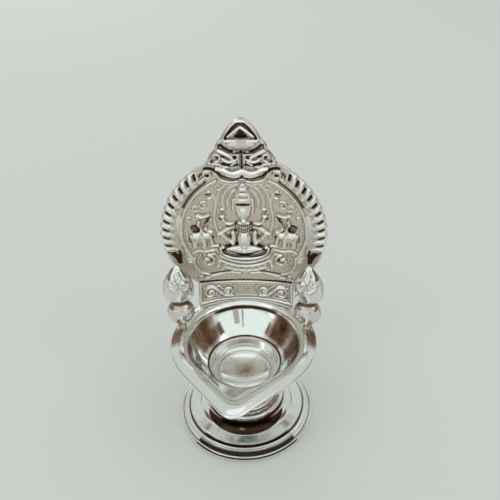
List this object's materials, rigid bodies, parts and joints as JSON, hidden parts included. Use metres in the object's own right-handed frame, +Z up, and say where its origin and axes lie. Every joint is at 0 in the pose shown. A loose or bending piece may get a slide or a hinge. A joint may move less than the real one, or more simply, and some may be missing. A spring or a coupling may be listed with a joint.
{
  "type": "oil lamp",
  "caption": "Footed oil lamp with an open spouted bowl, an upright relief back plate with rope borders and a scalloped crest, and bud-shaped finials at its sides.",
  "frame": {"origin": "middle of the bounding box in plan, on the plane that the foot stands on", "axes": "+Z up along the lamp's turning axis, -Y the front, square to the back plate and 3.7 degrees from the spout, +X to the right as seen from the front"},
  "size_m": [0.0624, 0.0654, 0.1177],
  "materials": {
    "polished_silver": "polished",
    "satin_silver": "matted and darkened in the recesses",
    "bright_cut_silver": "bright cut",
    "clamp_steel": "plain"
  },
  "bodies": {
    "root": {"foot_edge": "polished_silver", "foot_dish": "polished_silver", "stem_base": "polished_silver", "stem_spool": "polished_silver", "stem_saucer": "polished_silver", "clamp_stud": "clamp_steel", "clamp_washer": "clamp_steel", "clamp_nut": "clamp_steel", "oil_bowl": "polished_silver", "back_plate": "satin_silver", "crest_rim": "bright_cut_silver", "crest_jewel": "bright_cut_silver", "crest_flame": "bright_cut_silver", "crest_yoke": "bright_cut_silver", "panel_frame": "satin_silver", "lotus_base": "satin_silver", "lotus_seat": "bright_cut_silver", "goddess": "satin_silver", "rope_right": "bright_cut_silver", "rope_left": "bright_cut_silver", "circle_line_right": "bright_cut_silver", "circle_line_left": "bright_cut_silver", "crest_scroll_right": "bright_cut_silver", "crest_scroll_left": "bright_cut_silver", "crest_leaf_right": "bright_cut_silver", "crest_leaf_left": "bright_cut_silver", "yoke_curl_right": "bright_cut_silver", "yoke_curl_left": "bright_cut_silver", "panel_vine_right": "satin_silver", "panel_vine_left": "satin_silver", "field_scroll_right": "satin_silver", "field_scroll_left": "satin_silver", "elephant_right": "satin_silver", "elephant_left": "satin_silver", "finial_bulb_right": "polished_silver", "finial_bulb_left": "polished_silver", "finial_collar_right": "polished_silver", "finial_collar_left": "polished_silver", "finial_bud_right": "polished_silver", "finial_bud_left": "polished_silver"}
  },
  "joints": []
}
